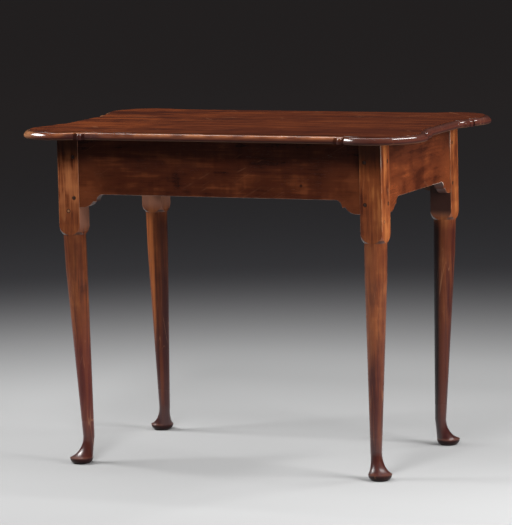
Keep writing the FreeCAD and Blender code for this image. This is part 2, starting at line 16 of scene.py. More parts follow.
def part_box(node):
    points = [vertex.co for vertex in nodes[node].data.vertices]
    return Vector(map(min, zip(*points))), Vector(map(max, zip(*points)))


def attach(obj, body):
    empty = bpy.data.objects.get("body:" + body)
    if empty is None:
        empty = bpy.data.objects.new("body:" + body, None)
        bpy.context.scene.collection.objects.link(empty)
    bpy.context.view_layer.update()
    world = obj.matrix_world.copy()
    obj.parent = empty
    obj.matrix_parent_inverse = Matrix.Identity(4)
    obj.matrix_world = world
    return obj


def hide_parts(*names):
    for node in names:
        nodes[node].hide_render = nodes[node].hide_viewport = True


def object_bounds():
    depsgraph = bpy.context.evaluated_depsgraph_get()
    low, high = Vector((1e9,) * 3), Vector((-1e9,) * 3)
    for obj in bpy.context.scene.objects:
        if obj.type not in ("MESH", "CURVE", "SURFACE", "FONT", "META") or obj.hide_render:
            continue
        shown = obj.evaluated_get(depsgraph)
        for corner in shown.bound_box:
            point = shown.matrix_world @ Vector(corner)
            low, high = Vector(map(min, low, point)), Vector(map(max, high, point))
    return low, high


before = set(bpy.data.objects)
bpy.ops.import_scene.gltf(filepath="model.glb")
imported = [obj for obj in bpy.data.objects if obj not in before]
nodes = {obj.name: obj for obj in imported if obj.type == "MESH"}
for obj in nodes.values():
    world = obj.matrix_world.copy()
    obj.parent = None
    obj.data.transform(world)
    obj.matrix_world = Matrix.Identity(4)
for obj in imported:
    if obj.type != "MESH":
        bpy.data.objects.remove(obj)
cad_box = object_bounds()
print(len(nodes), "solids in the frame, box", cad_box)

# %% [markdown]
# ## The camera
# The picture to match was taken from about seven metres with a long lens, a little above the level of
# the top. A camera can be aimed by eye, but here its place and its three directions were solved from
# the corners of the posts, so they are written as measured: to the right, down and forward in the
# picture. Blender's camera looks along its own -Z with +Y up, so the matrix takes the last two
# directions with their signs turned.

# %% Set the camera where the photograph was taken
SENSOR_WIDTH, FOCAL_LENGTH = 36, 232.16     # millimetres
FARTHEST_SEEN = 200                         # metres

eye = Vector((2.6896, -6.3185, 1.3027))
to_right = Vector((0.92036, 0.39036, -0.02362))
downward = Vector((0.02948, -0.12949, -0.99114))
forward = Vector((-0.38996, 0.91151, -0.13069))

lens = bpy.data.cameras.new("long_lens")
lens.sensor_width = SENSOR_WIDTH
lens.lens = FOCAL_LENGTH
lens.clip_end = FARTHEST_SEEN
camera = bpy.data.objects.new("camera", lens)
directions = Matrix((to_right, -downward, -forward)).transposed()
camera.matrix_world = Matrix.Translation(eye) @ directions.to_4x4()
bpy.context.scene.collection.objects.link(camera)
bpy.context.scene.camera = camera
table_middle = (Vector(cad_box[0]) + Vector(cad_box[1])) / 2
print("camera", round((eye - table_middle).length, 2), "m from the table")

# %% [markdown]
# ## Writing a material as sums
# Every finish below is a set of masks and mixes. Joining nodes one by one hides the idea, so one small
# class wraps an output socket: plus, minus and times on it add Math nodes, and its method `node` adds
# any other node, with its settings first and then the values or links of its inputs. Colours are
# blended with `blend`, because a Math node would turn them grey.

# %% A socket that can be reckoned with
class Wire:
    """An output socket of a node tree. Arithmetic on it adds Math nodes to the tree."""

    def __init__(self, tree, socket=None):
        self.tree, self.socket = tree, socket

    def node(self, kind, settings=(), inputs=(), output=0):
        """Adds a node, sets its settings, fills its inputs, and gives back one of its outputs."""
        made = self.tree.nodes.new(kind)
        for name, value in dict(settings).items():
            setattr(made, name, value)
        for name, value in dict(inputs).items():
            if isinstance(value, Wire):
                self.tree.links.new(value.socket, made.inputs[name])
            else:
                made.inputs[name].default_value = value
        return Wire(self.tree, made.outputs[output])

    def math(self, operation, *values):
        return self.node("ShaderNodeMath", {"operation": operation}, enumerate(values))

    def __add__(self, other):
        return self.math("ADD", self, other)

    def __sub__(self, other):
        return self.math("SUBTRACT", self, other)

    def __rsub__(self, other):
        return self.math("SUBTRACT", other, self)

    def __mul__(self, other):
        return self.math("MULTIPLY", self, other)

    def __abs__(self):
        return self.math("ABSOLUTE", self)

    __radd__, __rmul__ = __add__, __mul__

    def between(self, low, high):
        """0 up to low, 1 from high on, a smooth step between. It falls where high is under low."""
        return self.node("ShaderNodeMapRange", {"interpolation_type": "SMOOTHSTEP"},
                         {"Value": self, "From Min": low, "From Max": high})

    def blend(self, first, second):
        """The first colour where this is 0, the second where it is 1."""
        return self.node("ShaderNodeMix", {"data_type": "RGBA"}, {0: self, 6: first, 7: second}, output=2)


def shade(red, green, blue):
    """A colour that hides what is under it."""
    return (red, green, blue, 1.0)


print("Wire ready")

# %% [markdown]
# ## Grain
# A board is cut along a tree, so every mark in it is long one way and short the other two. Noise in
# three dimensions, squeezed along the grain, gives that, and it runs through the solid as real figure
# does: a pattern seen on a face goes on round the arris. Five noises make the lightness of the wood,
# each with its own weight: broad bands of growth, streaks, fine lines, the blotches of old polish, and
# the faint ripple across the grain that catches the light. All of them read Object coordinates, in
# metres, so their scales are counts per metre.

# %% Draw noise out along the grain
ACROSS = {"x": (0, 1, 1), "y": (1, 0, 1), "z": (1, 1, 0)}
BLOTCHES, RIPPLE = (15.0, 34.0), (90.0, 14.0)       # counts per metre, along the grain and across it


def drawn_noise(place, along, per_metre, across_per_metre, start, detail=2.0, warp=0.0):
    """Noise from 0 to 1, with one scale along the grain and another across it, begun at its own place."""
    scale = [across_per_metre if across else per_metre for across in ACROSS[along]]
    moved = place.node("ShaderNodeMapping", {}, {"Vector": place, "Location": start, "Scale": scale})
    return place.node("ShaderNodeTexNoise", {}, {"Vector": moved, "Scale": 1.0, "Detail": detail,
                                                 "Roughness": 0.6, "Distortion": warp})


def even_noise(place, per_metre, start, detail=2.0):
    """Noise with the same scale every way."""
    return drawn_noise(place, "x", per_metre, per_metre, start, detail)


def figure(place, along, bands_per_metre, seed, weights):
    """The lightness of the wood: 0.5 and the sum of five noises about 0, each times its weight.

    They are bands, streaks, lines, blotches and ripple. The first three get finer with the count of bands.
    """
    count = bands_per_metre
    noises = (drawn_noise(place, along, count / 9, count, (seed, 3.1, 7.7), 3.0, 0.6),
              drawn_noise(place, along, count / 6, 4 * count, (seed, 9.2, 1.3)),
              drawn_noise(place, along, count / 3, 18 * count, (seed, 2.7, 4.4)),
              drawn_noise(place, along, *BLOTCHES, (seed, 6.6, 0.9)),
              drawn_noise(place, along, *RIPPLE, (seed, 0.4, 6.1), 1.0))
    return 0.5 + sum((noise - 0.5) * weight for noise, weight in zip(noises, weights))


print("grain along", sorted(ACROSS))

# %% [markdown]
# ## Scratches and stains
# Long use leaves fine scratches, nearly straight and a few together. They could be drawn one by one.
# Here they are the lines along which a noise passes through its middle value: the noise is drawn out so
# far that the lines hardly bend, and turned until it lies in the face that is scratched, and a second
# noise keeps them in patches. Knots and plugged holes are marks at one known place, so they come from
# the distance to a point.

# %% Marks of use
SCRATCHES_ALONG, SCRATCHES_ACROSS = 1.0, 75.0       # counts per metre
SCRATCHED_PATCHES = 15.0


def scratches(place, turn, start):
    """Thin lines along which a drawn-out, turned noise is at its middle value, in scattered patches."""
    turned = place.node("ShaderNodeMapping", {}, {"Vector": place, "Rotation": turn})
    drawn = drawn_noise(turned, "x", SCRATCHES_ALONG, SCRATCHES_ACROSS, start, 0.0)
    line = abs(drawn - 0.5).between(0.018, 0.004)
    return line * even_noise(place, SCRATCHED_PATCHES, start).between(0.54, 0.66)


def spot(place, centre, radius, soft):
    """1 within a radius of a point, fading to 0 over the soft width."""
    away = place.node("ShaderNodeVectorMath", {"operation": "DISTANCE"}, {0: place, 1: centre}, output=1)
    return away.between(radius + soft, radius)


print("scratches drawn out", SCRATCHES_ACROSS / SCRATCHES_ALONG, "times")

# %% [markdown]
# ## Polished wood
# The colour starts from three browns: the dark of late growth, the warm red-brown between, and the
# bright brown of figure and rubbed places. The figure chooses among them, and short dark pores lie over
# it. Whatever use has done to a piece, and painted light and shade as well, is laid over that, one mask
# and one colour at a time, as a polisher lays one stain over another. Old polish is smooth but not quite
# even, so the roughness drifts a little. More drift than this would crumple the reflections on a flat top
# like leather. The relief is written in metres: thousandths of a millimetre for lines and pores, and some
# tenths of a millimetre for the slow waves that a hand plane leaves.

# %% One class for every board
PORES_ALONG, PORES_ACROSS = 70.0, 2200.0            # counts per metre
PLANED_ALONG, PLANED_ACROSS = 9.0, 26.0
POLISH_PATCHES = 17.0
LINE_RELIEF, PORE_RELIEF, PLANED_RELIEF = 6.0e-6, 5.0e-6, 4.0e-4


class Board:
    """A wood material in the making: where things are on it, and its colour, gloss and relief so far."""

    def __init__(self, name, along, browns, seed, bands_per_metre, weights):
        self.material = bpy.data.materials.new(name)
        self.material.use_nodes = True
        tree = self.material.node_tree
        self.shader = tree.nodes["Principled BSDF"]
        wire = Wire(tree)
        self.place = wire.node("ShaderNodeTexCoord", output="Object")
        normal = wire.node("ShaderNodeNewGeometry", output="Normal")
        self.at = [wire.node("ShaderNodeSeparateXYZ", {}, {0: self.place}, output=i) for i in range(3)]
        self.facing = [wire.node("ShaderNodeSeparateXYZ", {}, {0: normal}, output=i) for i in range(3)]
        dark, warm, bright = browns
        self.tone = figure(self.place, along, bands_per_metre, seed, weights)
        self.colour = self.tone.between(0.18, 0.5).blend(dark, warm)
        self.colour = self.tone.between(0.5, 0.85).blend(self.colour, bright)
        speckle = drawn_noise(self.place, along, PORES_ALONG, PORES_ACROSS, (seed, 5.5, 2.9), 1.0)
        pores = speckle.between(0.60, 0.70)
        self.paint(pores, dark, 0.45)
        self.drift = even_noise(self.place, POLISH_PATCHES, (seed, 4.0, 8.0), 3.0)
        self.roughness = 0.20 + self.drift * 0.06 + pores * 0.04
        planed = drawn_noise(self.place, along, PLANED_ALONG, PLANED_ACROSS, (seed, 6.0, 2.0), 1.0)
        self.relief = self.tone * LINE_RELIEF - pores * PORE_RELIEF + planed * PLANED_RELIEF

    def paint(self, mask, colour, strength=1.0):
        """Lays a colour over the wood where the mask is 1, as thick as its strength."""
        layer = mask if strength == 1.0 else mask * strength
        self.colour = layer.blend(self.colour, colour)

    def finish(self, coat, coat_roughness=0.08, gloss=0.4, coat_index=1.5):
        """Joins colour, gloss and relief to the shader. The coat is a number, or a wire where it varies."""
        tree = self.material.node_tree
        bump = self.relief.node("ShaderNodeBump", {}, {"Height": self.relief, "Distance": 1.0,
                                                       "Strength": 1.0})
        sockets = self.shader.inputs
        for name, value in (("Base Color", self.colour), ("Roughness", self.roughness), ("Normal", bump)):
            tree.links.new(value.socket, sockets[name])
        if isinstance(coat, Wire):
            tree.links.new(coat.socket, sockets["Coat Weight"])
        else:
            sockets["Coat Weight"].default_value = coat
        sockets["Coat Roughness"].default_value = coat_roughness
        sockets["Coat IOR"].default_value = coat_index
        sockets["Specular IOR Level"].default_value = gloss
        return self.material


def dress(material, *names):
    """Gives CAD nodes a material."""
    for name in names:
        nodes[name].data.materials.clear()
        nodes[name].data.materials.append(material)
    print(material.name, "on", len(names), "solids")


print("pores about", round(1000 / PORES_ACROSS, 2), "mm apart")

# %% [markdown]
# ## The top board
# The field is one wide flat board with its grain along the table. Its left end is painted lighter and
# more orange, most of all on the bright lines of the figure, as painted light, and its right end is
# painted darker, as painted shade.
# The moulding round it starts from a plain brown. A top could be painted by hand on a picture. Masks
# are chosen here, because they follow from the place on the board alone: how far along it lies, and how
# far below the ledge of the moulding.

# %% Browns of the top
MOULDING_STEP = 0.0015      # from the field down to the ledge, in metres
# a dark colour for real dirt and for painted shade
DIRT_AND_SHADE = shade(0.018, 0.007, 0.005)
DRY_WOOD = shade(0.105, 0.050, 0.028)
LIT_LEFT_ORANGE = shade(0.205, 0.046, 0.0098)
MOULDING_BROWN = shade(0.085, 0.024, 0.0105)
SHADED_BROWN = shade(0.050, 0.0100, 0.0040)

ledge_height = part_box("top_board")[1][2] - MOULDING_STEP
top_browns = (shade(0.041, 0.0077, 0.0027), shade(0.073, 0.0140, 0.0037), shade(0.125, 0.0275, 0.0066))
top_weights = (1.1, 1.0, 0.8, 0.8, 0.2)
top = Board("top_polish", "x", top_browns, seed=2.0, bands_per_metre=22.0, weights=top_weights)
along_top = top.at[0]
below_ledge = ledge_height - top.at[2]
moulding = below_ledge.between(-0.0006, 0.001)
# painted light: the left end of the field lighter and more orange; painted shade: its right end darker
lit_left_end = along_top.between(0.08, -0.34) * top.tone.between(0.32, 0.68)
shaded = along_top.between(0.08, 0.40)
top.paint(lit_left_end, LIT_LEFT_ORANGE, 0.6)
top.paint(moulding, MOULDING_BROWN, 0.6)
top.paint(shaded, SHADED_BROWN, 0.3)
print("ledge at", round(ledge_height, 4), "m")

# %% [markdown]
# ## The moulded edge
# Below the ledge the edge is a quarter round. Hands have rubbed its upper half golden, in patches. The
# two left lobes are painted golden more than the rest, as rubbed wear and as painted light from the left.
# The right end is painted nearly black, as painted shade, and so is the lowest part all round. The
# stretch beside the left bead is painted nearly black just under the ledge. Painted shade lies in the
# corner where the field steps down to the ledge.

# %% Colour of the edge
RUBBED_PATCHES = 15.0       # counts per metre
RUBBED_GOLD = shade(0.30, 0.105, 0.038)
WORN_AND_LIT_LOBES = shade(0.34, 0.15, 0.062)
RIGHT_EDGE_SHADE = shade(0.045, 0.0125, 0.0095)
BEAD_BLACK = shade(0.030, 0.0085, 0.0085)
LOWEST_SHADE = shade(0.026, 0.0085, 0.0075)

rubbed = even_noise(top.place, RUBBED_PATCHES, (1.0, 2.0, 3.0), 3.0).between(0.38, 0.62)
handled = rubbed * along_top.between(0.32, 0.24) * below_ledge.between(0.008, 0.003)
right_end = along_top.between(0.24, 0.34)
bead_stretch = along_top.between(-0.325, -0.300) * along_top.between(-0.215, -0.250)
beside_bead = bead_stretch * below_ledge.between(0.001, 0.003)
left_lobes = along_top.between(-0.36, -0.41)
lowest = below_ledge.between(0.008, 0.011)
crease_shade = below_ledge.between(0.0005, 0.0001) * below_ledge.between(-0.0014, -0.0009)
top.paint(moulding * handled, RUBBED_GOLD, 0.75)
# painted shade: the right end of the edge nearly black
top.paint(moulding * right_end, RIGHT_EDGE_SHADE, 0.7)
top.paint(moulding * beside_bead, BEAD_BLACK, 0.85)
# rubbed wear and painted light from the left: the left lobes golden
top.paint(moulding * left_lobes, WORN_AND_LIT_LOBES, 0.7)
# painted shade: the lowest part of the edge nearly black, less under the left lobes
top.paint(lowest * (0.85 - left_lobes * 0.5), LOWEST_SHADE)
# painted shade in the corner where the field steps down to the ledge
top.paint(crease_shade, DIRT_AND_SHADE, 0.6)
print("edge rubbed in", RUBBED_PATCHES, "patches to the metre")

# %% [markdown]
# ## Scratches and gloss of the top
# The scratches lie in the level face, so they are turned about the upright axis only. The underside
# never saw polish. The field was scraped flat and keeps a tenth of the relief of other boards, but the
# edge was worked with a moulding plane, so waves break the light that runs along it. A thick coat lies
# on the crest of the edge, where it was waxed most. Under the crest the wood is dull: a coat there
# would mirror the pale floor and look milky.

# %% Finish of the top
# the angle of two sets of scratches, and where the noise of each starts
SCRATCH_SETS = ((0.9, (4.0, 1.0, 0.0)), (-0.35, (8.0, 3.0, 0.0)))
EDGE_WAVES = 26.0           # counts per metre
EDGE_RELIEF, FIELD_SHARE = 3.0e-3, 0.1
SCRATCHED_TOP = shade(0.30, 0.12, 0.055)

for angle, start in SCRATCH_SETS:
    top.paint(scratches(top.place, (0.0, 0.0, angle), start), SCRATCHED_TOP, 0.3)
underneath = top.facing[2].between(-0.3, -0.7)
top.paint(underneath, DRY_WOOD, 0.75)
waves = even_noise(top.place, EDGE_WAVES, (9.0, 4.0, 1.0), 1.0)
top.relief = top.relief * FIELD_SHARE + waves * moulding * EDGE_RELIEF
crest = moulding * below_ledge.between(0.008, 0.005)
top.roughness = top.roughness + moulding * (0.35 - crest * 0.4) + underneath * 0.35
edge_coat = crest * (0.65 + rubbed * 0.35) * (1 - bead_stretch * 0.5)
top_coat = (1 - moulding) * 0.15 + edge_coat
dress(top.finish(top_coat, coat_roughness=0.10, gloss=0.2, coat_index=1.7), "top_board")

# %% [markdown]
# ## The legs
# Each leg is one stick with the grain upright: a square post, then a round leg and a pad foot. One
# finish does for all four, because it can tell them apart by where they stand. So the first cell only
# names places: left and right, front and rear, and what a face looks at. A face looks into the table
# where the level part of its normal points against its place. The arrises of the post are the only
# places there that face two ways at once, so the product of the two level parts of the normal finds
# them.

# %% Places on a leg
POST_LENGTH, POMMEL = 0.198, 0.022      # the square post, and its shaped lower end
WORN_PATCHES = 40.0                     # counts per metre

post_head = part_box("leg_front_left")[1][2]
shoulder = post_head - POST_LENGTH
leg_browns = (shade(0.060, 0.013, 0.006), shade(0.180, 0.046, 0.014), shade(0.33, 0.108, 0.032))
leg_weights = (0.9, 0.6, 0.5, 1.1, 0.2)
leg = Board("leg_polish", "z", leg_browns, seed=5.0, bands_per_metre=50.0, weights=leg_weights)
leg_x, leg_y, height = leg.at
above_shoulder = height - shoulder
facing_x, facing_y, _ = leg.facing
on_right = leg_x.between(-0.1, 0.1)
on_left = 1 - on_right
rear = leg_y.between(-0.05, 0.05)
front = 1 - rear
fore_face = facing_y.between(-0.3, -0.8)
inward = (facing_x * leg_x + facing_y * leg_y).between(-0.05, -0.15)
inner_face = inward * above_shoulder.between(0.0, POMMEL)
corner = abs(facing_x * facing_y)
arris = corner.between(0.12, 0.42) * above_shoulder.between(POMMEL, POMMEL + 0.004)
wear = even_noise(leg.place, WORN_PATCHES, (7.0, 1.0, 5.0)).between(0.30, 0.60)
print("posts from", round(shoulder, 4), "to", round(post_head, 4), "m")

# %% [markdown]
# ## The posts
# The arrises are rubbed bright, and on the outer front arris of the right posts a pale painted highlight
# runs near the top. The inner faces were never polished, and those at the right are painted nearly black
# as shade. Front and rear are painted dark under the top, as the shade of its overhang. Lower down, the
# fore faces of the left posts are painted more golden, as painted light, and those of the right a little
# darker, as painted shade.

# %% Colour of the posts
LOWER_BROWN = shade(0.105, 0.032, 0.015)
RUBBED_ARRIS = shade(0.50, 0.25, 0.13)
PALE_ARRIS_HIGHLIGHT = shade(0.80, 0.60, 0.48)
RAW_INSIDE = shade(0.27, 0.118, 0.074)
INSIDE_SHADE = shade(0.020, 0.0065, 0.0050)
RIGHT_FORE_SHADE = shade(0.060, 0.0165, 0.0070)
LEFT_FORE_LIGHT = shade(0.36, 0.130, 0.052)

lower_fore = fore_face * height.between(0.56, 0.51)
upper_fore = fore_face * height.between(0.52, 0.56)
arris_highlight = arris * leg_x.between(0.335, 0.345) * facing_y.between(-0.1, -0.4) * height.between(0.61, 0.64)
shade_under_top = abs(facing_y) * height.between(post_head - 0.055, post_head - 0.02)
lit_band = leg.tone.between(0.3, 0.6) * height.between(0.50, 0.56) * height.between(0.655, 0.605)
leg.paint(lower_fore, LOWER_BROWN, 0.35)
leg.paint(arris * wear, RUBBED_ARRIS, 0.4)
# painted highlight: a pale line on the outer front arris of the right posts, near the top
leg.paint(arris_highlight, PALE_ARRIS_HIGHLIGHT, 0.8)
leg.paint(inner_face, RAW_INSIDE, 0.75)
# painted shade: the inner faces of the right posts nearly black
leg.paint(inner_face * on_right, INSIDE_SHADE, 0.95)
# painted shade of the overhang: front and rear faces dark under the top
leg.paint(shade_under_top, DIRT_AND_SHADE, 0.85)
# painted shade: the fore faces of the right posts a little darker
leg.paint(upper_fore * on_right, RIGHT_FORE_SHADE, 0.2)
# painted light: the fore faces of the left posts golden below the overhang
leg.paint(fore_face * on_left * lit_band, LEFT_FORE_LIGHT, 0.55)
print("posts painted")

# %% [markdown]
# ## The round legs
# Below the shoulder the wood is streaked along its grain, pale and dark, and it turns a deep red
# towards the floor. Just under the shoulder it is browner. The streaks are a noise drawn out far along
# the leg, and its low values give the pale ones and its high values the dark ones.

# %% Colour of the round legs
STREAKS_ALONG, STREAKS_ACROSS = 2.5, 150.0          # counts per metre
DEEP_RED = shade(0.048, 0.0056, 0.0052)
PALE_STREAK = shade(0.28, 0.080, 0.021)
DARK_STREAK = shade(0.034, 0.0070, 0.0060)
UPPER_BROWN = shade(0.066, 0.0165, 0.0080)

turned = above_shoulder.between(0.01, -0.03)
upper = above_shoulder.between(0.004, -0.004) * height.between(0.36, 0.44)
lower = height.between(0.40, 0.14)
streaks = drawn_noise(leg.place, "z", STREAKS_ALONG, STREAKS_ACROSS, (3.0, 8.0, 5.0), 2.0)
leg.paint(lower, DEEP_RED, 0.85)
leg.paint(turned * streaks.between(0.52, 0.40), PALE_STREAK, 0.2)
leg.paint(turned * streaks.between(0.50, 0.62), DARK_STREAK, 0.45)
leg.paint(upper, UPPER_BROWN, 0.4)
print("round legs below", round(shoulder, 4), "m")

# %% [markdown]
# ## Light and shade painted on each leg
# The rear left leg is painted golden on its outer side and the front left one a clearer red below, as
# painted light. The right ones are painted dark outside, as painted shade; the front one is painted paler
# on its other sides, as painted light, and the rear one darkest of all, as painted shade. The sides with
# which the two rear legs look at each other are painted almost black, as the shade between them. Four
# finishes could say this. One finish with masks keeps the streaks and the wear the same in all of them.

# %% What differs from leg to leg
RED_LIGHT_BELOW = shade(0.16, 0.022, 0.015)
OUTER_GOLD_LIGHT = shade(0.44, 0.130, 0.036)
OUTER_SIDE_SHADE = shade(0.070, 0.0170, 0.0080)
LIGHTER_FRONT_BROWN = shade(0.36, 0.115, 0.045)
REAR_RIGHT_SHADE_BROWN = shade(0.034, 0.0072, 0.0062)
SIDE_SHADE_BLACK = shade(0.010, 0.0040, 0.0040)
SHADE_BETWEEN_REAR_LEGS = shade(0.022, 0.0055, 0.0065)

lit_lower_red = on_left * front * height.between(0.36, 0.20)
lit_outer_side = on_left * rear * turned * facing_x.between(0.2, -0.3) * height.between(0.12, 0.32)
# painted light: the front left leg a clearer, lighter red below
leg.paint(lit_lower_red, RED_LIGHT_BELOW, 0.3)
# painted light: the outer side of the rear left leg golden
leg.paint(lit_outer_side * (0.2 + streaks.between(0.60, 0.42) * 0.55), OUTER_GOLD_LIGHT)

right_outer_shade = on_right * turned * facing_x.between(0.45, 0.9)
front_right_light = on_right * front * turned * facing_x.between(0.6, 0.1) * height.between(0.18, 0.32)
rear_right_shade = on_right * rear * turned
# painted shade: the outer sides of the right legs darker
leg.paint(right_outer_shade, OUTER_SIDE_SHADE, 0.5)
# painted light: the front right leg paler on its other sides
leg.paint(front_right_light, LIGHTER_FRONT_BROWN, 0.2)
# painted shade: the rear right leg darkest, its left side nearly black
leg.paint(rear_right_shade * (0.5 + streaks.between(0.42, 0.58) * 0.4), REAR_RIGHT_SHADE_BROWN)
leg.paint(rear_right_shade * facing_x.between(0.0, -0.35), SIDE_SHADE_BLACK, 0.8)

rear_legs_facing_shade = rear * turned * (facing_x * leg_x).between(-0.08, -0.27)
# painted shade on the sides with which the rear legs look at each other
leg.paint(rear_legs_facing_shade, SHADE_BETWEEN_REAR_LEGS, 0.7)
print("legs told apart")

# %% [markdown]
# ## Feet, pegged joints and plugs
# The feet are dark with wax and floor dirt, and bright only on the worn rim of the pad. The lowest part
# of the pad is painted black, as painted shade next to the floor. Painted shade also sits under the
# corners of the post, where the round leg starts, and in a ring round every peg. The pegs lie alike in
# all four posts, so one spot on the absolute value of the place does for four. Each front post has an
# old nail hole, plugged with paler wood. The scratches follow the leg, so they are turned upright, and
# the wax is thickest near the floor.

# %% Marks on the legs, and their finish
# where the pegs leave the long face and the end face of a post, in X and Y, and how high
PEG_MARKS = ((0.3145, 0.2215), (0.3495, 0.1865))
PEG_HEIGHTS = (0.631, 0.548)
PEG_SHADE_RING = 0.0034
PLUGS = (((-0.3278, -0.2215, 0.5213), 0.0038), ((0.3495, -0.2087, 0.5143), 0.0030))     # centre and radius
FOOT_BROWN = shade(0.034, 0.0080, 0.0075)
SOLE_SHADE = shade(0.008, 0.003, 0.003)
WORN_RIM = shade(0.15, 0.060, 0.040)
SCRATCHED_LEG = shade(0.42, 0.20, 0.10)
PLUG_WOOD = shade(0.30, 0.14, 0.07)

foot, sole = height.between(0.085, 0.03), height.between(0.013, 0.008)
pad_rim = height.between(0.0095, 0.0125) * height.between(0.017, 0.0135)
at_shoulder = above_shoulder.between(-0.001, 0.001) * above_shoulder.between(0.008, 0.004)
leg.paint(foot, FOOT_BROWN, 0.7)
# painted shade: the lowest part of the pad black, next to the floor
leg.paint(sole, SOLE_SHADE, 0.7)
leg.paint(pad_rim * wear, WORN_RIM, 0.5)
# painted shade under the corners of the post, where the round leg starts
leg.paint(corner.between(0.10, 0.35) * at_shoulder, DIRT_AND_SHADE, 0.85)
leg.paint(scratches(leg.place, (0.0, 1.42, 0.1), (1.0, 6.0, 2.0)), SCRATCHED_LEG, 0.3)
folded = leg.place.node("ShaderNodeVectorMath", {"operation": "ABSOLUTE"}, {0: leg.place})
# painted shade in a ring round every peg
for mark in PEG_MARKS:
    for peg_height in PEG_HEIGHTS:
        leg.paint(spot(folded, (*mark, peg_height), PEG_SHADE_RING, 0.0016), DIRT_AND_SHADE, 0.85)
for centre, radius in PLUGS:
    leg.paint(spot(leg.place, centre, radius, 0.0012), DIRT_AND_SHADE, 0.75)
    leg.paint(spot(leg.place, centre, radius * 0.55, 0.0010), PLUG_WOOD, 0.8)
leg.roughness = leg.roughness + inner_face * 0.25 + height.between(0.12, 0.05) * 0.10
leg_coat = (0.3 + height.between(0.16, 0.04) * 0.7) * height.between(0.010, 0.014)
leg_names = [name for name in nodes if name.startswith("leg_")]
dress(leg.finish(leg_coat, coat_roughness=0.34, gloss=0.2), *leg_names)

# %% [markdown]
# ## The aprons
# The aprons are darker than the posts. They are painted darker upwards, with an uneven border, as the
# shade of the overhang of the top, and painted lighter towards the ends, near the posts, as painted
# light. Their softened lower arris is rubbed, and at the rear bracket of the right end a pale painted
# glint lies on it, in the colour of chipped bare wood. Their sawn lower edges are dirty, and their inner
# faces were left dry. The two long aprons have their grain along X and the two end ones along Y, so one
# function makes both finishes, with the two directions exchanged.

# %% Finish of the aprons
CHIP_GLINT_AT, KNOT = (0.3475, 0.108, 0.552), (0.1803, -0.22, 0.5825)
APRON_WEAR = 45.0           # counts per metre
HALF_LONG, HALF_END = 0.3035, 0.1755        # half the length between the posts
RUBBED_APRON = shade(0.40, 0.18, 0.09)
PALE_CHIP_GLINT = shade(0.75, 0.66, 0.58)
SCRATCHED_APRON = shade(0.25, 0.10, 0.050)


def apron_polish(name, along, browns, seed, half_span, overhang_shade):
    """The finish of a pair of aprons, with their half length and how dark the painted shade under the top
    is.
    """
    board = Board(name, along, browns, seed, bands_per_metre=40.0, weights=(0.7, 0.5, 0.3, 1.2, 0.25))
    height = board.at[2]
    way, across = (0, 1) if along == "x" else (1, 0)
    outward = board.facing[across]
    lit_near_posts = abs(board.at[way]).between(half_span - 0.10, half_span) * height.between(0.65, 0.59)
    # painted light: lighter towards the ends, near the posts
    board.paint(lit_near_posts * (0.3 + board.drift.between(0.38, 0.62) * 0.6), browns[2])
    uneven_height = height + (board.drift - 0.5) * 0.12
    # painted shade of the overhang: darker upwards under the top
    board.paint(uneven_height.between(0.570, 0.660), DIRT_AND_SHADE, overhang_shade)
    arris = abs(outward * board.facing[2]).between(0.12, 0.42)
    wear = even_noise(board.place, APRON_WEAR, (seed, 1.0, 5.0)).between(0.34, 0.62)
    board.paint(arris * wear, RUBBED_APRON, 0.6)
    # painted glint: a pale patch on the arris at the rear bracket of the right end, like chipped bare wood
    board.paint(arris * spot(board.place, CHIP_GLINT_AT, 0.030, 0.015), PALE_CHIP_GLINT, 0.9)
    sawn = abs(outward).between(0.5, 0.2)
    board.paint(sawn, DIRT_AND_SHADE, 0.6)
    inner = (outward * board.at[across]).between(-0.05, -0.15)
    board.paint(inner, DRY_WOOD, 0.7)
    slant = (0.0, 0.5, 0.0) if along == "x" else (0.5, 0.0, math.pi / 2)
    board.paint(scratches(board.place, slant, (seed, 3.0, 1.0)), SCRATCHED_APRON, 0.18)
    board.paint(spot(board.place, KNOT, 0.0022, 0.0016), DIRT_AND_SHADE, 0.85)
    board.roughness = board.roughness + sawn * 0.25 + inner * 0.35
    return board.finish(0.15)


long_browns = (shade(0.026, 0.006, 0.0032), shade(0.056, 0.0130, 0.0056), shade(0.125, 0.033, 0.012))
end_browns = (shade(0.048, 0.0105, 0.0042), shade(0.100, 0.0225, 0.0078), shade(0.175, 0.042, 0.0130))
long_polish = apron_polish("long_apron_polish", "x", long_browns, 11.0, HALF_LONG, overhang_shade=0.405)
end_polish = apron_polish("end_apron_polish", "y", end_browns, 14.0, HALF_END, overhang_shade=0.45)
dress(long_polish, "apron_front", "apron_rear")
dress(end_polish, "apron_right", "apron_left")

# %% [markdown]
# ## The pegs
# Each apron tenon is held by two pegs driven through the post. A peg is not turned but split and
# whittled with a knife, so its section is a ring of flat cuts, no two alike, and its end is pared off a
# little askew. A cylinder would look machine made. So each peg is a new surface: the radius at an angle
# is the distance to the nearest cut, and rows of that section run from the buried end out to the pared
# one. It stays inside the cylinder it stands for.

# %% Rows of points, and a skin over them
def skin(rows, start, end=None):
    """Points and faces over rows that close round on themselves.

    Row i and row i + 1 are joined by quads. Triangles fan from a start point to the first row, and from the
    last row to an end point. The faces look outwards where the rows turn to the left as they go on.
    """
    count, around = rows.shape[:2]
    here = np.arange(around)
    after = (here + 1) % around
    first = 1 + np.arange(count - 1)[:, None] * around
    quads = np.stack([first + here, first + after, first + around + after, first + around + here], axis=-1)
    fans = [np.stack([np.zeros(around, int), 1 + after, 1 + here], axis=-1)]
    points = [np.reshape(start, (1, 3)), rows.reshape(-1, 3)]
    if end is not None:
        last = 1 + (count - 1) * around
        fans.append(np.stack([np.full(around, last + around), last + here, last + after], axis=-1))
        points.append(np.reshape(end, (1, 3)))
    faces = quads.reshape(-1, 4).tolist() + np.concatenate(fans).tolist()
    return np.concatenate(points), faces


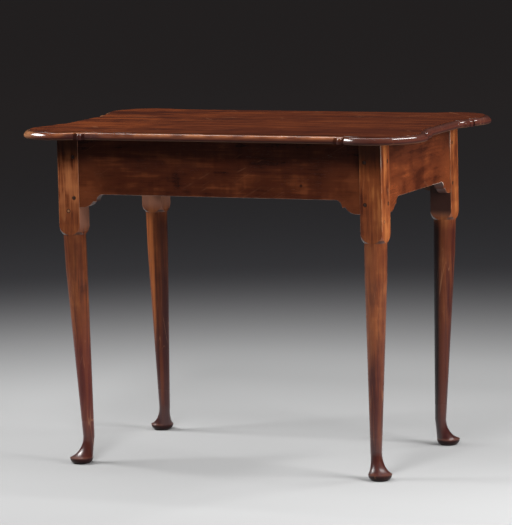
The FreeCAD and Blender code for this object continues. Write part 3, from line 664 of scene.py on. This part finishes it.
def new_piece(name, points, faces, material):
    """A mesh object at the origin with one material."""
    mesh = bpy.data.meshes.new(name)
    mesh.from_pydata(points.tolist(), [], faces)
    mesh.materials.append(material)
    piece = bpy.data.objects.new(name, mesh)
    bpy.context.scene.collection.objects.link(piece)
    return piece


print("skin ready")

# %% [markdown]
# ## The shape of one peg
# The knife leaves seven to nine flats round a peg, at uneven angles and depths, which are drawn from a
# seed so that every run gives the same pegs. Six rows are enough along it, because nearly all of a peg
# is straight: one at the buried end, one where the paring starts, and four that draw in over the end.

# %% Whittle a peg
FEWEST_CUTS, MOST_CUTS = 7, 9
CUT_SWAY = 0.2                  # how far a cut may turn from its even place, in radians
DEEP, SHALLOW = 0.86, 0.97      # how far from the axis a cut lies, in shares of the radius
LEAST_FACING = 0.3              # a cut that faces further away than this has no say
AROUND = 72                     # points round a section
PARED = 0.0004                  # how far the end rounds, in metres
ASKEW = 0.4                     # how far it slopes to each side, in shares of PARED

# the rows from the root on: their share of the section, how far all but the first lie before the end in
# shares of PARED, and which of them slope
ROW_SHARE = np.array([1.0, 1.0, 0.97, 0.86, 0.62, 0.32])
ROW_BEFORE_END = np.array([2.2, 1.0, 0.6, 0.5, 0.45])
ROW_SLOPES = np.array([0, 0, 1, 1, 1, 1])


def whittled_peg(low, high, outward, seed):
    """Rows of a peg in the box from low to high, with its two end points.

    At angle a the section's radius is the least of d / cos(a - c) over its cuts, each at an angle c and a
    distance d from the axis, and no more than the radius of the box. The rows follow the axis, then draw in
    over the end, which falls away by a share of PARED towards one side and towards its rim.
    """
    draw = np.random.default_rng(seed)
    low, high, outward = np.array(low), np.array(high), np.array(outward, float)
    middle = (low + high) / 2
    length = abs(outward @ (high - low))
    radius = (high - low)[2] / 2
    cuts = draw.integers(FEWEST_CUTS, MOST_CUTS + 1)
    cut_angle = np.arange(cuts) * 2 * math.pi / cuts + draw.uniform(-CUT_SWAY, CUT_SWAY, cuts)
    cut_depth = radius * draw.uniform(DEEP, SHALLOW, cuts)
    angle = np.linspace(0, 2 * math.pi, AROUND, endpoint=False)
    facing = np.cos(angle[:, None] - cut_angle)
    to_cut = np.where(facing > LEAST_FACING, cut_depth / np.maximum(facing, LEAST_FACING), radius)
    section = to_cut.min(axis=1).clip(0, radius)
    reach = np.append(0.0, length - ROW_BEFORE_END * PARED)
    slope = ROW_SHARE * ROW_SLOPES * ASKEW * PARED
    level = reach[:, None] + slope[:, None] * np.cos(angle - draw.uniform(0, 2 * math.pi))
    upright = np.array([0, 0, 1.0])
    sideways = np.cross(upright, outward)
    out = np.cos(angle)[:, None] * sideways + np.sin(angle)[:, None] * upright
    root = middle - outward * length / 2
    rows = root + level[..., None] * outward + (ROW_SHARE[:, None] * section)[..., None] * out
    return rows, root, root + outward * reach[-1]


print("a peg has", len(ROW_SHARE), "rows of", AROUND, "points")

# %% [markdown]
# ## Peg wood
# What shows of a peg is its end grain, which drinks in wax and dirt: nearly black, and dull. The grain
# runs along the peg, so the pegs through the long aprons and those through the end aprons have a finish
# each. The name of a peg says at which side it comes out.

# %% Sixteen pegs
OUTWARD = {"front": (0, -1, 0), "right": (1, 0, 0), "rear": (0, 1, 0), "left": (-1, 0, 0)}
LONG_SIDES, END_SIDES = ("front", "rear"), ("left", "right")

peg_browns = (shade(0.012, 0.005, 0.0035), shade(0.030, 0.011, 0.006), shade(0.070, 0.028, 0.014))
peg_polish = {}
for along, seed in (("x", 21.0), ("y", 24.0)):
    peg = Board("peg_end_grain_" + along, along, peg_browns, seed, 300.0, (1.2, 1.0, 0.6, 1.2, 0.2))
    peg.roughness = peg.roughness + 0.35
    peg_polish[along] = peg.finish(0.0)
peg_names = sorted(name for name in nodes if name.startswith("peg_"))
for seed, name in enumerate(peg_names):
    side = name.split("_")[1]
    material = peg_polish["y" if side in LONG_SIDES else "x"]
    rows, root, tip = whittled_peg(*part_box(name), OUTWARD[side], seed)
    piece = new_piece("whittled_" + name, *skin(rows, root, tip), material)
    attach(piece, "root")
    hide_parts(name)
print(len(peg_names), "pegs of", len(piece.data.polygons), "faces")

# %% [markdown]
# ## Glue blocks and screws
# The glue blocks are bare softwood that nobody was meant to see: pale, dry and rough, so they are
# boards with no coat. The screws are plain iron, dull and a little rusty. Rust is no metal, so where
# the noise puts it, the surface is rougher and loses most of its metallic share.

# %% Finish of the hidden pieces
BARE_IRON, RUST = shade(0.17, 0.16, 0.15), shade(0.16, 0.065, 0.030)
RUST_SPOTS = 420.0          # counts per metre

bare_browns = (shade(0.26, 0.135, 0.060), shade(0.43, 0.27, 0.135), shade(0.55, 0.38, 0.21))
for along, seed, sides in (("x", 31.0, LONG_SIDES), ("y", 34.0, END_SIDES)):
    block = Board("bare_softwood_" + along, along, bare_browns, seed, 120.0, (1.8, 0.8, 0.4, 0.6, 0.2))
    block.roughness = block.roughness + 0.42
    blocks = [name for name in nodes if name.startswith("glue_block_") and name.split("_")[2] in sides]
    dress(block.finish(0.0), *blocks)

iron = bpy.data.materials.new("dull_iron")
iron.use_nodes = True
iron_shader = iron.node_tree.nodes["Principled BSDF"]
iron_place = Wire(iron.node_tree).node("ShaderNodeTexCoord", output="Object")
rusty = even_noise(iron_place, RUST_SPOTS, (0.0, 0.0, 0.0), 4.0).between(0.48, 0.62)
iron_looks = {"Base Color": rusty.blend(BARE_IRON, RUST), "Roughness": 0.42 + rusty * 0.4,
              "Metallic": 0.9 - rusty * 0.7}
for name, value in iron_looks.items():
    iron.node_tree.links.new(value.socket, iron_shader.inputs[name])
dress(iron, *(name for name in nodes if name.startswith("top_screw_")))

# %% [markdown]
# ## The studio floor
# A pale floor and soft light, and nothing else. The floor could be a plane, but its far edge would show
# as a line. So it is a disc so wide that its edge lies near the horizon. Its colour carries painted
# light: pale near the table, falling off to dark with distance, and a little lighter again far off. Its
# rings lie closer together near the table.

# %% Floor
FLOOR_RADIUS = 60.0
FLOOR_RINGS, FLOOR_AROUND = 12, 64
FLOOR_LIT_NEAR, FLOOR_UNLIT = shade(0.365, 0.366, 0.367), shade(0.036, 0.035, 0.040)
FLOOR_LIT_AWAY = shade(0.085, 0.068, 0.068)

floor_paint = bpy.data.materials.new("floor_paint")
floor_paint.use_nodes = True
floor_shader = floor_paint.node_tree.nodes["Principled BSDF"]
floor_place = Wire(floor_paint.node_tree).node("ShaderNodeTexCoord", output="Object")
away = floor_place.node("ShaderNodeVectorMath", {"operation": "LENGTH"}, {0: floor_place}, output=1)
# painted light: pale near the table, darker with distance, a little lighter again far off
floor_light_falloff = away.between(0.45, 3.0).blend(FLOOR_LIT_NEAR, FLOOR_UNLIT)
floor_light_falloff = away.between(3.0, 9.0).blend(floor_light_falloff, FLOOR_LIT_AWAY)
floor_paint.node_tree.links.new(floor_light_falloff.socket, floor_shader.inputs["Base Color"])
floor_shader.inputs["Roughness"].default_value = 0.8

# rings of points (r cos a, r sin a, 0), where r grows with a square and a turns clockwise, to face upwards
ring = (np.linspace(0.05, 1, FLOOR_RINGS) ** 2 * FLOOR_RADIUS)[:, None]
angle = -np.linspace(0, 2 * math.pi, FLOOR_AROUND, endpoint=False)
rings = np.stack([ring * np.cos(angle), ring * np.sin(angle), 0 * ring * angle], axis=-1)
floor = new_piece("floor", *skin(rings, (0, 0, 0)), floor_paint)
print("floor", len(floor.data.polygons), "faces")

# %% [markdown]
# ## Light
# The sky of the studio is dark at eye level and lighter overhead, so that the polished top, seen at a
# low angle, keeps its own colour. Five soft boxes do the rest. Two of them only light the wood, one
# high in front and a low one near the right end: polish doesn't mirror them, because they would lie on
# it as white patches. Three are placed for what the polish mirrors: a broad one high at the left for
# the left lobes, a thin strip overhead for the line along the front edge, and another strip for the
# lobes at the right end.

# %% Sky and soft boxes
SKY_LOW, SKY_HIGH = shade(0.0175, 0.015, 0.015), shade(0.15, 0.15, 0.15)

world = bpy.data.worlds.new("studio_sky")
bpy.context.scene.world = world
world.use_nodes = True
sky = Wire(world.node_tree)
direction = sky.node("ShaderNodeTexCoord", output="Generated")
upward = sky.node("ShaderNodeSeparateXYZ", {}, {0: direction}, output=2)
glow = upward.between(0.10, 0.95).blend(SKY_LOW, SKY_HIGH)
world.node_tree.links.new(glow.socket, world.node_tree.nodes["Background"].inputs["Color"])


def soft_box(name, place, aim, width, height, power, mirrored=True):
    """A lamp of some size, so its shadows are soft, aimed at a point. Polish need not mirror it."""
    lamp = bpy.data.lights.new(name, "AREA")
    lamp.shape = "RECTANGLE"
    lamp.size = width
    lamp.size_y = height
    lamp.energy = power
    box = bpy.data.objects.new(name, lamp)
    box.location = place
    box.visible_glossy = mirrored
    box.rotation_euler = (Vector(aim) - Vector(place)).to_track_quat("-Z", "Y").to_euler()
    bpy.context.scene.collection.objects.link(box)
    print(name, power, "W")


soft_box("front_box", (0.3, -2.3, 2.9), (0.0, 0.0, 0.5), width=0.7, height=0.7, power=72, mirrored=False)
soft_box("left_box", (-2.3, -0.45, 2.3), (-0.1, 0.0, 0.5), width=1.5, height=0.9, power=100)
soft_box("right_box", (1.7, -0.3, 0.95), (0.2, 0.0, 0.5), width=0.7, height=0.9, power=38, mirrored=False)
soft_box("upper_strip", (0.0, 0.36, 2.2), (0.0, 0.36, 0.65), width=2.4, height=0.09, power=9)
soft_box("right_strip", (1.2, 0.5, 2.2), (0.35, 0.77, 0.65), width=1.7, height=0.15, power=24)

# %% [markdown]
# ## Closing
# The view transform is Standard, so that colours come out as they were mixed.

# %% Set the view transform
bpy.context.scene.view_settings.view_transform = "Standard"
